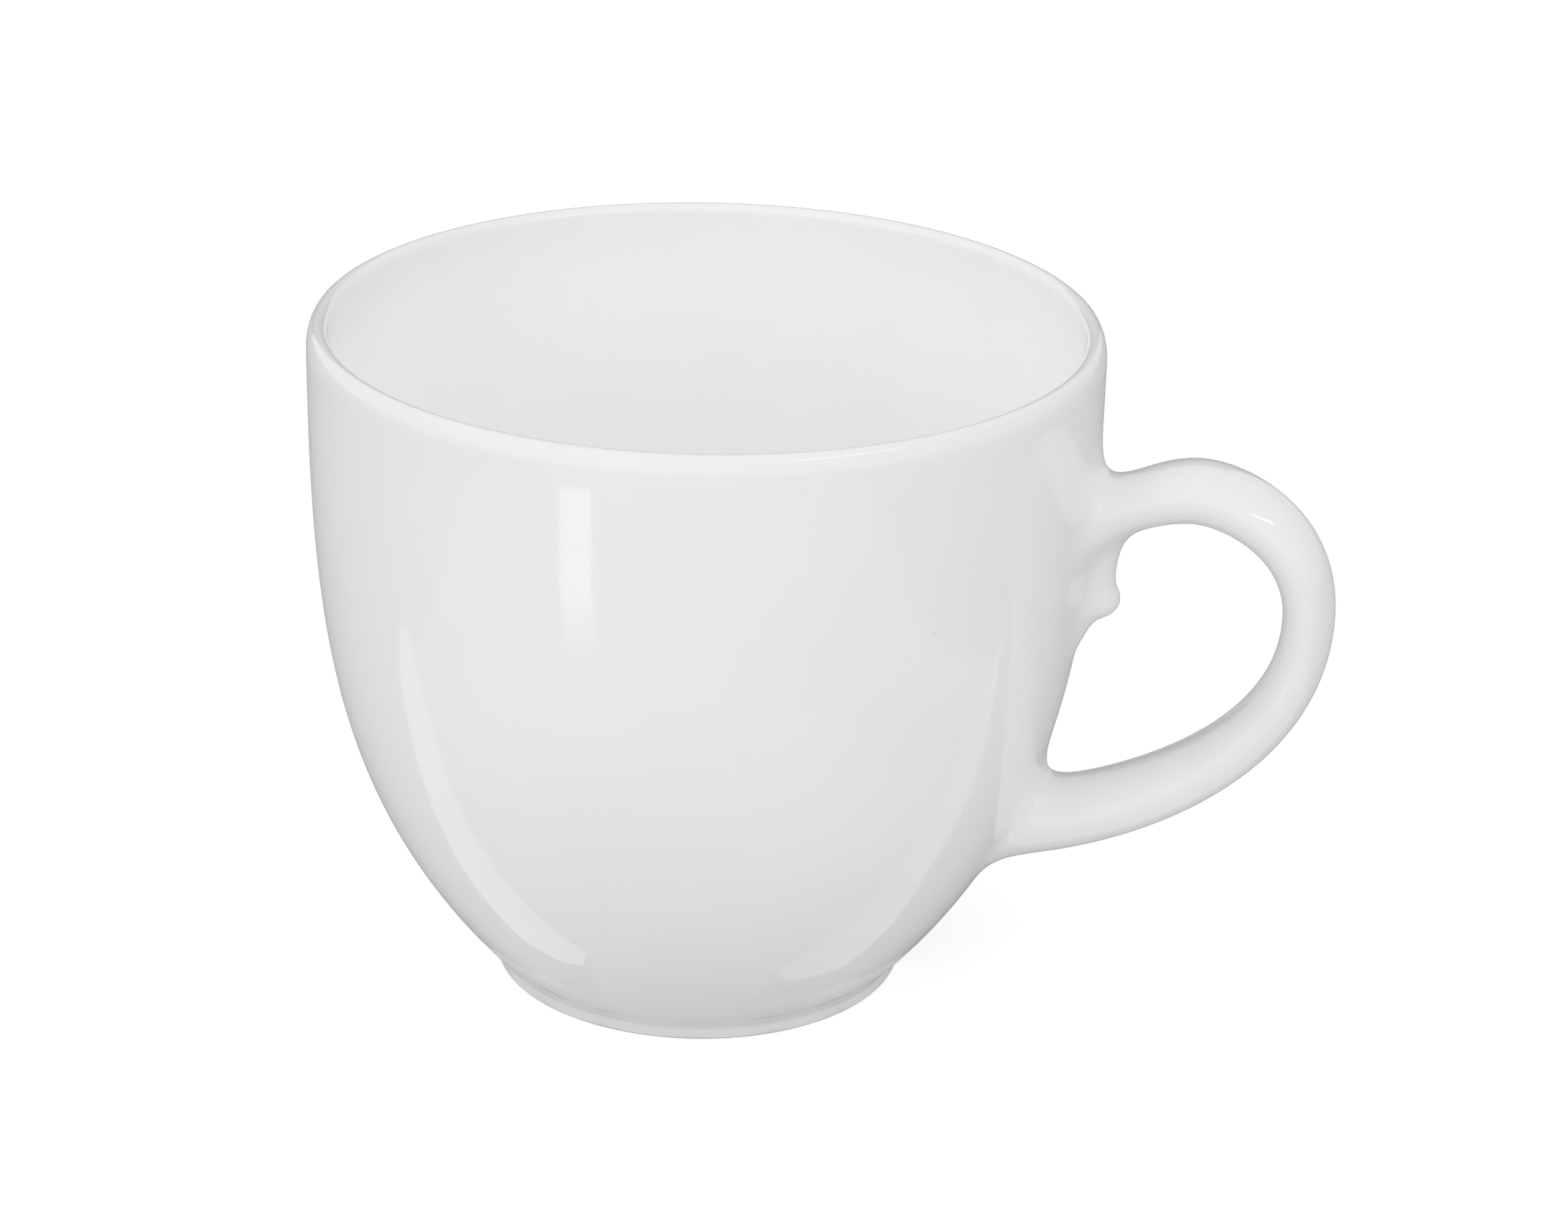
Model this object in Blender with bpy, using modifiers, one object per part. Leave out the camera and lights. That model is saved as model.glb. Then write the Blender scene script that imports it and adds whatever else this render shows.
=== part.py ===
"""Espresso cup in glazed porcelain: a turned body, a cast loop handle and the slip that joins them.

The foot ring stands on the plane z = 0 with its centre at the origin, and the handle points along +X.
All sizes are in metres.
"""

import math

import bmesh
import bpy
import numpy as np
from mathutils import Vector
from mathutils.geometry import interpolate_bezier

# Bowl
CUP_HEIGHT = 0.0543
RIM_RADIUS = 0.0310
LIP_THICKNESS = 0.0016
LIP_OUTER_ROUND = 0.0007
LIP_OUTER_DEPTH = 0.0020
LIP_INNER_DEPTH = 0.0012
WALL_THICKNESS = 0.0030
FLOOR_THICKNESS = 0.0036
FLOOR_RADIUS = 0.0090
FLOOR_ROUND = 0.0055

# Outer wall: one curve from the shoulder above the foot up to the lip
WALL_START_ANGLE = math.radians(48.4)
WALL_LOW_PULL = 0.0191
WALL_HIGH_PULL = 0.0225

# Foot ring
FOOT_RADIUS = 0.0164
FOOT_HEIGHT = 0.0012
FOOT_RING_WIDTH = 0.0026
FOOT_EDGE = 0.0003
FOOT_RECESS = 0.0018
FOOT_INNER_SLOPE = 0.0008
SHOULDER_WIDTH = 0.0008
SHOULDER_RISE = 0.0007

# Handle centreline, in the plane through the cup's axis: reaches, rises and drops are from the upper root
UPPER_ROOT_DROP = 0.0133
UPPER_ROOT_ANGLE = math.radians(30.0)
UPPER_ROOT_PULL = 0.0033
CREST_REACH = 0.0082
CREST_RISE = 0.0033
CREST_PULL = 0.0028
LOOP_REACH = 0.0172
LOOP_DROP = 0.0062
LOOP_TOP_PULL = 0.0069
LOOP_LOW_PULL = 0.0113
LOWER_ROOT_HEIGHT = 0.0151
LOWER_ROOT_ANGLE = math.radians(11.6)
LOWER_ROOT_PULL = 0.0096

# Handle sections: thickness in the plane of the loop, width across it
UPPER_THICKNESS = 0.0039
UPPER_WIDTH = 0.0078
CREST_THICKNESS = 0.0047
CREST_WIDTH = 0.0076
LOOP_THICKNESS = 0.0041
LOOP_WIDTH = 0.0074
LOWER_THICKNESS = 0.0055
LOWER_WIDTH = 0.0081
UPPER_FLARE = 0.0036
LOWER_FLARE = 0.0020
SIDE_FLARE = 0.0016
ROOT_TURN = 0.0050

# Finger nib under the upper root: drops are measured down from that root, heights out from the wall
NECK_DROP = 0.0030
NECK_HEIGHT = 0.0021
NECK_WIDTH = 0.0056
NIB_DROP = 0.0064
NIB_HEIGHT = 0.0028
NIB_WIDTH = 0.0030
NIB_TAIL = 0.0042

# Fits
CLEARANCE = 0.0003
SLIP_THICKNESS = 0.0005
ROOT_DEPTH = 0.0020

# Fineness of the meshes
TURN_STEPS = 60
WALL_POINTS = 15
CURVE_POINTS = 7
LIP_POINTS = 4
HANDLE_SIDES = 20
NIB_SIDES = 14
FLARE_POINTS = 5
LOOP_SPACING = 0.0024
PATH_POINTS = 120


def bezier(start, start_pull, end_pull, end, count):
    """Points along one cubic curve, given by its ends and by the vectors that pull it at each end."""
    return interpolate_bezier(start, start + start_pull, end + end_pull, end, count)


def heading(angle, length=1.0):
    return Vector((math.cos(angle), math.sin(angle))) * length


def smooth_step(share):
    share = min(max(share, 0.0), 1.0)
    return share * share * (3 - 2 * share)


# Turned body


def wall_outline(count=WALL_POINTS):
    """The outer wall as (radius, height) points, from the lip down to the shoulder above the foot."""
    lip = Vector((RIM_RADIUS, CUP_HEIGHT - LIP_OUTER_DEPTH))
    shoulder = Vector((FOOT_RADIUS + SHOULDER_WIDTH, FOOT_HEIGHT + SHOULDER_RISE))
    high_pull = Vector((0, -WALL_HIGH_PULL))
    low_pull = heading(WALL_START_ANGLE, WALL_LOW_PULL)
    return bezier(lip, high_pull, low_pull, shoulder, count)


def outward_normals(outline):
    """A unit vector out of the wall at each point of an outline that runs down the outer side."""
    points = np.array([tuple(point) for point in outline])
    along = np.gradient(points, axis=0)
    along /= np.linalg.norm(along, axis=1)[:, None]
    return [Vector((-down[1], down[0])) for down in along]


def inner_outline():
    """The inside from the middle of the floor up to the lip. The wall thins evenly towards the lip."""
    floor_height = FOOT_RECESS + FLOOR_THICKNESS
    outer = wall_outline()
    lip_height = outer[0].y
    inner = []
    for point, normal in zip(outer, outward_normals(outer)):
        depth = smooth_step((lip_height - point.y) / (lip_height - floor_height))
        thickness = LIP_THICKNESS + (WALL_THICKNESS - LIP_THICKNESS) * depth
        inner.append(point - normal * thickness)
    wall = [point for point in inner if point.y > floor_height + FLOOR_ROUND]
    floor_edge = Vector((FLOOR_RADIUS, floor_height))
    pull = (wall[-1] - floor_edge).length / 2
    down = (wall[-1] - wall[-2]).normalized()
    join = bezier(wall[-1], down * pull, Vector((pull, 0)), floor_edge, CURVE_POINTS)
    return [Vector((0, floor_height))] + join[::-1] + wall[-2::-1]


def lip_outline():
    """The rounded lip from the inner wall over its crest, up to where the outer wall starts."""
    crest_radius = RIM_RADIUS - LIP_OUTER_ROUND
    outline = []
    for step in range(2 * LIP_POINTS):
        towards = heading(math.pi * (1 - step / (2 * LIP_POINTS)))
        inside = step < LIP_POINTS
        width = LIP_THICKNESS - LIP_OUTER_ROUND if inside else LIP_OUTER_ROUND
        depth = LIP_INNER_DEPTH if inside else LIP_OUTER_DEPTH
        height = CUP_HEIGHT - depth * (1 - towards.y)
        outline.append(Vector((crest_radius + width * towards.x, height)))
    return outline


def foot_outline():
    """From below the shoulder round the foot ring and under the floor to the cup's axis."""
    inner_radius = FOOT_RADIUS - FOOT_RING_WIDTH
    return [
        Vector((FOOT_RADIUS, FOOT_HEIGHT)),
        Vector((FOOT_RADIUS, FOOT_EDGE)),
        Vector((FOOT_RADIUS - FOOT_EDGE, 0)),
        Vector((inner_radius + FOOT_EDGE, 0)),
        Vector((inner_radius, FOOT_EDGE)),
        Vector((inner_radius - FOOT_INNER_SLOPE, FOOT_RECESS)),
        Vector((0, FOOT_RECESS)),
    ]


def turned_solid(name, outline, collection):
    """A solid of revolution about the Z axis from (radius, height) points that end on that axis."""
    mesh = bpy.data.meshes.new(name)
    edges = [(step, step + 1) for step in range(len(outline) - 1)]
    mesh.from_pydata([(point.x, 0, point.y) for point in outline], edges, [])
    solid = bpy.data.objects.new(name, mesh)
    collection.objects.link(solid)
    screw = solid.modifiers.new("turn", "SCREW")
    screw.axis = "Z"
    screw.steps = TURN_STEPS
    screw.render_steps = TURN_STEPS
    screw.use_smooth_shade = True
    screw.use_merge_vertices = True
    screw.merge_threshold = 0.00001
    return solid


def make_envelope(name, offset, collection):
    """The body's outside, filled and grown by an offset, which trims what sits on the wall."""
    outer = wall_outline()
    grown = [point + normal * offset for point, normal in zip(outer, outward_normals(outer))]
    outline = [Vector((0, grown[0].y))] + grown + [Vector((0, grown[-1].y))]
    envelope = turned_solid(name, outline, collection)
    envelope.hide_render = True
    envelope.display_type = "WIRE"
    return envelope


# Handle


def wall_point(height):
    """The point of the outer wall at a height, and the wall's upward direction there."""
    outer = wall_outline(PATH_POINTS)[::-1]
    heights = [point.y for point in outer]
    radii = [point.x for point in outer]
    step = CLEARANCE
    radius, above = np.interp([height, height + step], heights, radii)
    return Vector((radius, height)), Vector((above - radius, step)).normalized()


def handle_path():
    """The centreline from the upper root round the loop to the lower root."""
    upper, _ = wall_point(CUP_HEIGHT - UPPER_ROOT_DROP)
    lower, _ = wall_point(LOWER_ROOT_HEIGHT)
    crest = upper + Vector((CREST_REACH, CREST_RISE))
    outermost = upper + Vector((LOOP_REACH, -LOOP_DROP))
    over = Vector((CREST_PULL, 0))
    up_pull = Vector((0, LOOP_TOP_PULL))
    down_pull = Vector((0, -LOOP_LOW_PULL))
    rise = bezier(upper, heading(UPPER_ROOT_ANGLE, UPPER_ROOT_PULL), -over, crest, PATH_POINTS)
    turn = bezier(crest, over, up_pull, outermost, PATH_POINTS)
    sweep = bezier(outermost, down_pull, heading(LOWER_ROOT_ANGLE, LOWER_ROOT_PULL), lower, PATH_POINTS)
    return rise, turn[1:], sweep[1:]


class Handle:
    """Sections of the handle along its centreline, by distance from the upper root."""

    def __init__(self):
        rise, turn, sweep = handle_path()
        self.points = np.array([tuple(point) for point in rise + turn + sweep])
        steps = np.linalg.norm(np.diff(self.points, axis=0), axis=1)
        self.distances = np.concatenate([[0], np.cumsum(steps)])
        self.length = self.distances[-1]
        self.crest = self.distances[len(rise) - 1]
        self.outermost = self.distances[len(rise + turn) - 1]
        self.upper_point, self.upper_wall = wall_point(CUP_HEIGHT - UPPER_ROOT_DROP)
        self.lower_point, lower_up = wall_point(LOWER_ROOT_HEIGHT)
        self.lower_wall = -lower_up

    def centre(self, distance):
        radius = np.interp(distance, self.distances, self.points[:, 0])
        height = np.interp(distance, self.distances, self.points[:, 1])
        return Vector((radius, height))

    def across(self, distance):
        """The direction out of the loop, square to the centreline."""
        nudge = self.length / PATH_POINTS
        along = self.centre(distance + nudge) - self.centre(distance - nudge)
        return Vector((-along.y, along.x)).normalized()

    def size(self, distance, sizes):
        """A section size that runs smoothly through its values at root, crest, outermost point and root."""
        stops = [0, self.crest, self.outermost, self.length]
        for start, end, first, last in zip(stops, stops[1:], sizes, sizes[1:]):
            if distance <= end:
                break
        return first + (last - first) * smooth_step((distance - start) / (end - start))

    def section(self, distance, flare=0.0, share=0.0):
        """Centre, direction, half thickness and half width, widened by a share of a root's flare."""
        square = self.across(distance)
        to_upper = 1 - smooth_step(distance / ROOT_TURN)
        to_lower = 1 - smooth_step((self.length - distance) / ROOT_TURN)
        turned = square.lerp(self.upper_wall, to_upper).lerp(self.lower_wall, to_lower).normalized()
        thickness = self.size(distance, (UPPER_THICKNESS, CREST_THICKNESS, LOOP_THICKNESS, LOWER_THICKNESS))
        width = self.size(distance, (UPPER_WIDTH, CREST_WIDTH, LOOP_WIDTH, LOWER_WIDTH))
        half_thickness = thickness / 2 / turned.dot(square) + flare * share
        return self.centre(distance), turned, half_thickness, width / 2 + SIDE_FLARE * share

    def upper_sections(self):
        """Sections of the flared upper root, from inside the wall outwards."""
        found = []
        for step in range(FLARE_POINTS + 1):
            angle = math.pi / 2 * step / FLARE_POINTS
            from_wall = UPPER_FLARE * (1 - math.cos(angle))
            found.append(self.section(from_wall, UPPER_FLARE, 1 - math.sin(angle)))
        inwards = Vector((-self.upper_wall.y, self.upper_wall.x)) * ROOT_DEPTH
        return [(found[0][0] + inwards,) + found[0][1:]] + found

    def lower_sections(self):
        """Sections of the flared lower root, from the loop into the wall."""
        found = []
        for step in range(FLARE_POINTS + 1):
            angle = math.pi / 2 * step / FLARE_POINTS
            from_wall = LOWER_FLARE * (1 - math.sin(angle))
            found.append(self.section(self.length - from_wall, LOWER_FLARE, 1 - math.cos(angle)))
        inwards = Vector((self.lower_wall.y, -self.lower_wall.x)) * ROOT_DEPTH
        return found + [(found[-1][0] + inwards,) + found[-1][1:]]

    def loop_sections(self):
        """Plain sections between the two flared roots."""
        free = self.length - UPPER_FLARE - LOWER_FLARE
        count = round(free / LOOP_SPACING)
        return [self.section(UPPER_FLARE + free * step / count) for step in range(1, count)]


def nib_sections():
    """Sections of the finger nib, square to the wall, from inside the upper root down to its tail."""
    root_height = CUP_HEIGHT - UPPER_ROOT_DROP
    root = Vector((0, NECK_HEIGHT))
    neck = Vector((NECK_DROP, NECK_HEIGHT))
    nose = Vector((NIB_DROP, NIB_HEIGHT))
    tail = Vector((NIB_DROP + NIB_TAIL, 0))
    to_nose = Vector((NIB_DROP - NECK_DROP, 0)) / 2
    to_tail = Vector((NIB_TAIL, 0)) / 2
    outline = [root] + bezier(neck, to_nose, -to_nose, nose, CURVE_POINTS)
    outline += bezier(nose, to_tail, -to_tail, tail, CURVE_POINTS + 2)[1:-1]
    sections = []
    for drop, height in outline:
        narrowing = smooth_step((drop - NECK_DROP) / (NIB_DROP - NECK_DROP))
        width = NECK_WIDTH + (NIB_WIDTH - NECK_WIDTH) * narrowing
        base, up = wall_point(root_height - drop)
        outwards = Vector((up.y, -up.x))
        centre = base + outwards * (height - ROOT_DEPTH) / 2
        sections.append((centre, outwards, (height + ROOT_DEPTH) / 2, width / 2))
    return sections


def loft(name, sections, sides, collection):
    """A closed solid through oval sections, each square to the XZ plane. No corner lies in that plane."""
    form = bmesh.new()
    rings = []
    for centre, direction, half_thickness, half_width in sections:
        ring = []
        for step in range(sides):
            angle = 2 * math.pi * (step + 0.5) / sides
            place = centre + direction * half_thickness * math.cos(angle)
            ring.append(form.verts.new((place.x, half_width * math.sin(angle), place.y)))
        rings.append(ring)
    for ring, following in zip(rings, rings[1:]):
        for step in range(sides):
            beside = (step + 1) % sides
            form.faces.new((ring[step], ring[beside], following[beside], following[step]))
    form.faces.new(rings[0])
    form.faces.new(rings[-1])
    bmesh.ops.recalc_face_normals(form, faces=form.faces)
    mesh = bpy.data.meshes.new(name)
    form.to_mesh(mesh)
    form.free()
    solid = bpy.data.objects.new(name, mesh)
    collection.objects.link(solid)
    return solid


def combine(solid, operation, other):
    modifier = solid.modifiers.new(f"{operation.lower()} {other.name}", "BOOLEAN")
    modifier.operation = operation
    modifier.solver = "EXACT"
    modifier.object = other


# Materials and assembly


def porcelain(name, colour, roughness):
    material = bpy.data.materials.new(name)
    material.use_nodes = True
    shader = material.node_tree.nodes["Principled BSDF"]
    shader.inputs["Base Color"].default_value = (*colour, 1)
    shader.inputs["Roughness"].default_value = roughness
    shader.inputs["Metallic"].default_value = 0
    return material


def finish(solid, material, parent):
    solid.data.materials.append(material)
    solid.data.shade_smooth()
    solid.parent = parent


def new_collection(name):
    collection = bpy.data.collections.new(name)
    bpy.context.scene.collection.children.link(collection)
    return collection


def main():
    for obj in list(bpy.data.objects):
        bpy.data.objects.remove(obj, do_unlink=True)
    cup = new_collection("espresso_cup")
    cutters = new_collection("cutters")
    centre = bpy.data.objects.new("cup_centre", None)
    cup.objects.link(centre)

    body = turned_solid("cup_body", inner_outline() + lip_outline() + wall_outline() + foot_outline(), cup)

    slip_inside = make_envelope("slip_inside", CLEARANCE, cutters)
    slip_outside = make_envelope("slip_outside", CLEARANCE + SLIP_THICKNESS, cutters)
    handle_seat = make_envelope("handle_seat", 2 * CLEARANCE + SLIP_THICKNESS, cutters)

    sections = Handle()
    upper_root = sections.upper_sections()
    lower_root = sections.lower_sections()
    nib = loft("nib", nib_sections(), NIB_SIDES, cutters)
    nib.hide_render = True
    nib.display_type = "WIRE"

    handle = loft("handle", upper_root + sections.loop_sections() + lower_root, HANDLE_SIDES, cup)
    combine(handle, "UNION", nib)
    combine(handle, "DIFFERENCE", handle_seat)

    upper_slip = loft("upper_slip_joint", upper_root, HANDLE_SIDES, cup)
    combine(upper_slip, "UNION", nib)
    lower_slip = loft("lower_slip_joint", lower_root, HANDLE_SIDES, cup)
    for slip in (upper_slip, lower_slip):
        combine(slip, "INTERSECT", slip_outside)
        combine(slip, "DIFFERENCE", slip_inside)

    finish(body, porcelain("body_porcelain", (0.86, 0.86, 0.85), 0.10), centre)
    finish(handle, porcelain("handle_porcelain", (0.86, 0.86, 0.85), 0.10), centre)
    finish(upper_slip, porcelain("upper_slip", (0.84, 0.84, 0.83), 0.14), centre)
    finish(lower_slip, porcelain("lower_slip", (0.84, 0.84, 0.83), 0.14), centre)


main()
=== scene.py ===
"""The finished espresso cup: its glazed porcelain surfaces, a small studio and the camera.

Sizes are in metres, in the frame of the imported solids: the cup stands on z = 0 about the Z axis, and its
handle points along +X.
"""

import math

import bmesh
import bpy
import numpy as np
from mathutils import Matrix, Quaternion, Vector
from mathutils.geometry import interpolate_bezier


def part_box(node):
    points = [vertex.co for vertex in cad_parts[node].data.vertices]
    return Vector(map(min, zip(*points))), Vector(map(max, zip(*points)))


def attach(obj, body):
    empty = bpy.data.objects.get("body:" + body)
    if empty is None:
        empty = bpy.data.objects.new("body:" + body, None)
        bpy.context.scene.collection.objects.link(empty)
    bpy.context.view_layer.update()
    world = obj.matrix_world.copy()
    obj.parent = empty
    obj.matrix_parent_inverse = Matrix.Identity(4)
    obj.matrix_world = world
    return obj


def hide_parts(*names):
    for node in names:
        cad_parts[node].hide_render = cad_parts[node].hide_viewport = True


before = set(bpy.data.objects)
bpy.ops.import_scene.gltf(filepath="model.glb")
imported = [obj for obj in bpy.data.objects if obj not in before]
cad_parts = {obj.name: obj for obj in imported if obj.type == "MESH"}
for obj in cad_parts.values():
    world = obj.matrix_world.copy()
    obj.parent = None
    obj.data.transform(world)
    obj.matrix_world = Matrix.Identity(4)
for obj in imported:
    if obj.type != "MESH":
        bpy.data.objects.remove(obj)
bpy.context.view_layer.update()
bpy.ops.object.select_all(action="DESELECT")

# How far the finished body stays inside the box of the solids
BOX_MARGIN = 0.000001

# Bowl
RIM_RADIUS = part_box("cup_body")[1].y - BOX_MARGIN
CUP_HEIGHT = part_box("cup_body")[1].z
LIP_THICKNESS = 0.0016
LIP_OUTER_ROUND = 0.0009
LIP_OUTER_DEPTH = 0.0020
LIP_INNER_DEPTH = 0.0007
WALL_THICKNESS = 0.0030
WALL_START_ANGLE = math.radians(48.4)
WALL_LOW_PULL = 0.0191
WALL_HIGH_PULL = 0.0225
FLOOR_THICKNESS = 0.0036
FLOOR_RADIUS = 0.0090
FLOOR_ROUND = 0.0055

# Foot ring
FOOT_RADIUS = 0.0164
FOOT_HEIGHT = 0.0012
FOOT_RING_WIDTH = 0.0026
FOOT_EDGE = 0.0002
FOOT_RECESS = 0.0018
FOOT_INNER_SLOPE = 0.0008
SHOULDER_WIDTH = 0.0008
SHOULDER_RISE = 0.0007
CREASE_PULL = 0.0004

# Handle centreline: reaches, rises and drops are from the upper root on the wall
UPPER_ROOT_HEIGHT = 0.0414
UPPER_ROOT_ANGLE = math.radians(22)
UPPER_ROOT_PULL = 0.0030
CREST_REACH = 0.0082
CREST_RISE = 0.00285
CREST_PULL = 0.0028
LOOP_REACH = 0.01716
LOOP_DROP = 0.0066
LOOP_TOP_PULL = 0.0069
LOOP_LOW_PULL = 0.0114
LOWER_ROOT_HEIGHT = 0.0150
LOWER_ROOT_ANGLE = math.radians(11.6)
LOWER_ROOT_PULL = 0.0096
ROOT_DEPTH = 0.0060

# Handle sections: thickness in the plane of the loop, width across it
UPPER_THICKNESS = 0.0039
UPPER_WIDTH = 0.0066
CREST_THICKNESS = 0.0047
CREST_WIDTH = 0.0074
LOOP_THICKNESS = 0.0040
LOOP_WIDTH = 0.0072
LOWER_THICKNESS = 0.0055
LOWER_WIDTH = 0.0078

# Finger nib: (distance out from the wall, height) of the ends of its neck and of its round tip
NECK_TOP = (0.0011, 0.0405)
NECK_LOW = (0.0012, 0.0364)
NECK_RADIUS = 0.0009
TIP_PLACE = (0.0016, 0.0346)
TIP_RADIUS = 0.0012
TAIL_PLACE = (-0.0004, 0.0326)
TAIL_RADIUS = 0.0004

# How far the forms of the handle melt into each other and into the wall
TIP_BLEND = 0.0014
NIB_BLEND = 0.0042
WALL_BLEND_HEIGHTS = (0.0100, 0.0128, 0.0200, 0.0300)
WALL_BLENDS = (0.0016, 0.0038, 0.0048, 0.0050)

# The patch of wall that the handle's skin runs out on: half its width, its lowest and highest point, its
# thickness, how far its edge lies past the blend, and how deep in the wall it is cut off
PATCH_REACH = 0.0105
PATCH_LOW = 0.0060
PATCH_HIGH = 0.0515
PATCH_THICKNESS = 0.0016
PATCH_MARGIN = 0.0002
PATCH_CUT = 0.0004

# Fineness of the meshes
TURN_STEPS = 320
WALL_POINTS = 56
CURVE_POINTS = 10
HANDLE_SIDES = 32
LOOP_RINGS = 60
PATCH_STEPS = 48
NIB_BALLS = 12
BALL_SEGMENTS = 12
BALL_RINGS = 8
HANDLE_VOXEL = 0.0004
PATH_POINTS = 90
MERGE_DISTANCE = 0.000002
SMOOTH_ANGLE = math.radians(40)

# How the handle's skin is drawn onto its form, and how deep its edge sits in the wall
SETTLE_STEPS = 12
LAST_SETTLE_STEPS = 3
LONGEST_SETTLE = 0.0004
SLOPE_PROBE = 0.000002
TINY = 1e-9
WALL_SINK = 0.000006
SEAT_DEPTH = 0.0004

# Glaze and bare clay: colours, roughness, heights up the foot, and scales in patches for each metre
GLAZE_COLOUR = (0.915, 0.915, 0.912)
CLOUD_COLOUR = (0.900, 0.900, 0.896)
POOL_COLOUR = (0.880, 0.886, 0.886)
SPECK_COLOUR = (0.60, 0.58, 0.55)
CLAY_COLOUR = (0.80, 0.79, 0.765)
WORN_COLOUR = (0.66, 0.655, 0.64)
GLAZE_ROUGHNESS = 0.05
CLOUD_ROUGHNESS = 0.08
CLAY_ROUGHNESS = 0.75
GLAZE_IOR = 1.5
BARE_HEIGHT = 0.0001
POOL_HEIGHT = 0.0030
CLOUD_SCALE = 70
CLOUD_DETAIL = 3
CLOUD_START = 0.35
CLOUD_END = 0.65
RIPPLE_SCALE = 160
RIPPLE_DETAIL = 1
RIPPLE_DEPTH = 0.000012
GRAIN_SCALE = 4000
GRAIN_DETAIL = 2
GRAIN_DEPTH = 0.00003
SPECK_SCALE = 108
SPECK_RADIUS = 0.00012

# Tent: the side it is brightest on, its brightness there and opposite, and the share of it overhead
TENT_SIDE = (-0.42, -0.91, 0)
TENT_FRONT = 1.21
TENT_BACK = 0.74
TENT_TOP = 0.84

# Lamps: place, width and height, and brightness of the surface
RIGHT_LAMP = ((0.43, -0.25, 0.50), (0.34, 0.04), 4.5)
BOWL_LAMP = ((0, -0.001, 0.0528), (0.046, 0.046), 0.34)
BOWL_LAMP_TARGET = (0, 0.004, 0)

# Dark flag behind the cup: its place, its width and height, and its cloth
FLAG_PLACE = (-0.40, 1.0, 0.35)
FLAG_SIZE = (1.1, 0.7)
FLAG_COLOUR = (0.03, 0.03, 0.03, 1)

# Floor sheet, and the light that whitens it for the camera
FLOOR_SIZE = 4.0
FLOOR_COLOUR = (0.50, 0.50, 0.50, 1)
FLOOR_ROUGHNESS = 0.9
FLOOR_WHITENING = (0.69, 0.69, 0.69, 1)

# Outlines of the glowing cards on the floor, which shine in place of lit bounce cards
FRONT_CARD = (
    (-0.0064, -0.0226), (-0.0169, -0.0245), (-0.0386, -0.0284), (-0.0568, -0.0324), (-0.0777, -0.0344),
    (-0.0885, -0.0510), (-0.1080, -0.0820), (-0.1175, -0.1000), (-0.1150, -0.1150), (-0.1100, -0.2000),
    (-0.1000, -0.4500), (0.2000, -0.4500), (0.1700, -0.1600), (0.1615, -0.1190), (0.1380, -0.0895),
    (0.1257, -0.0664), (0.1013, -0.0319), (0.0921, -0.0212), (0.0882, -0.0090), (0.0840, 0.0104),
    (0.0563, -0.0055), (0.0413, -0.0110), (0.0285, -0.0140), (0.0200, -0.0166), (0.0128, -0.0181),
    (0.0090, -0.0160), (0.0020, -0.0183), (-0.0050, -0.0178),
)
LEFT_STRIP = (
    (-0.0879, -0.0282), (-0.0691, -0.0221), (-0.0496, -0.0205), (-0.0271, -0.0182), (-0.0150, -0.0181),
    (-0.0092, -0.0194), (-0.0067, -0.0206), (-0.0064, -0.0226), (-0.0169, -0.0245), (-0.0386, -0.0284),
    (-0.0568, -0.0324), (-0.0791, -0.0332), (-0.0839, -0.0332),
)
RIGHT_STRIP = (
    (0.0914, 0.0146), (0.0715, 0.0087), (0.0511, 0.0021), (0.0339, -0.0055), (0.0235, -0.0084),
    (0.0175, -0.0115), (0.0128, -0.0163), (0.0128, -0.0181), (0.0200, -0.0166), (0.0285, -0.0140),
    (0.0413, -0.0110), (0.0563, -0.0055), (0.0700, 0.0010), (0.0840, 0.0104),
)
# The streak glows on the floor in place of a lamp's reflection in the table: a painted reflection, fading
# towards its near end.
STREAK = (
    (-0.0635, -0.1487), (-0.0464, -0.1138), (-0.0317, -0.0892), (-0.0203, -0.0938), (-0.0300, -0.1211),
    (-0.0422, -0.1591),
)
FOOT_STRIP = (
    (-0.0164, 0.0030), (-0.0182, -0.0030), (-0.0158, -0.0098), (-0.0108, -0.0152), (-0.0040, -0.0183),
    (0.0040, -0.0183), (0.0108, -0.0152), (0.0158, -0.0098), (0.0182, -0.0030), (0.0182, 0.0030),
    (0.0167, 0.0010), (0.0163, -0.0035), (0.0142, -0.0089), (0.0096, -0.0137), (0.0036, -0.0163),
    (-0.0036, -0.0163), (-0.0096, -0.0137), (-0.0142, -0.0089), (-0.0163, -0.0035),
)

# Each card: its outline, height above the floor, and two (distance from the axis, brightness) pairs. On
# the front card and the strips the lower brightness near the axis is painted shade, standing in for the
# cup's shadow on them.
CARDS = {
    "front_card": (FRONT_CARD, 0.0003, (0.016, 0.53), (0.085, 0.77)),
    "left_strip": (LEFT_STRIP, 0.0006, (0.016, 1.08), (0.085, 1.24)),
    "right_strip": (RIGHT_STRIP, 0.0006, (0.016, 0.82), (0.085, 1.04)),
    "foot_strip": (FOOT_STRIP, 0.0001, (0.016, 0.52), (0.020, 0.52)),
    "streak": (STREAK, 0.0006, (0.095, 0.80), (0.122, 2.9)),
}

# Camera: where it stands, the point it looks at, its lean and its lens
CAMERA_PLACE = (0.0763, -0.3060, 0.1613)
CAMERA_TARGET = (0.00628, 0.00143, 0.02994)
CAMERA_ROLL = math.radians(1.367)
CAMERA_LENS = 98.47
CAMERA_SENSOR = 36.0
CAMERA_CLIP = 0.01


# Curves


def bezier(start, start_pull, end_pull, end, count=PATH_POINTS):
    """Points along one cubic curve, given by its ends and by the vectors that pull it at each end."""
    start, end = Vector(start), Vector(end)
    return interpolate_bezier(start, start + Vector(start_pull), end + Vector(end_pull), end, count)


def heading(angle, length=1.0):
    return Vector((math.cos(angle), math.sin(angle))) * length


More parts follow.
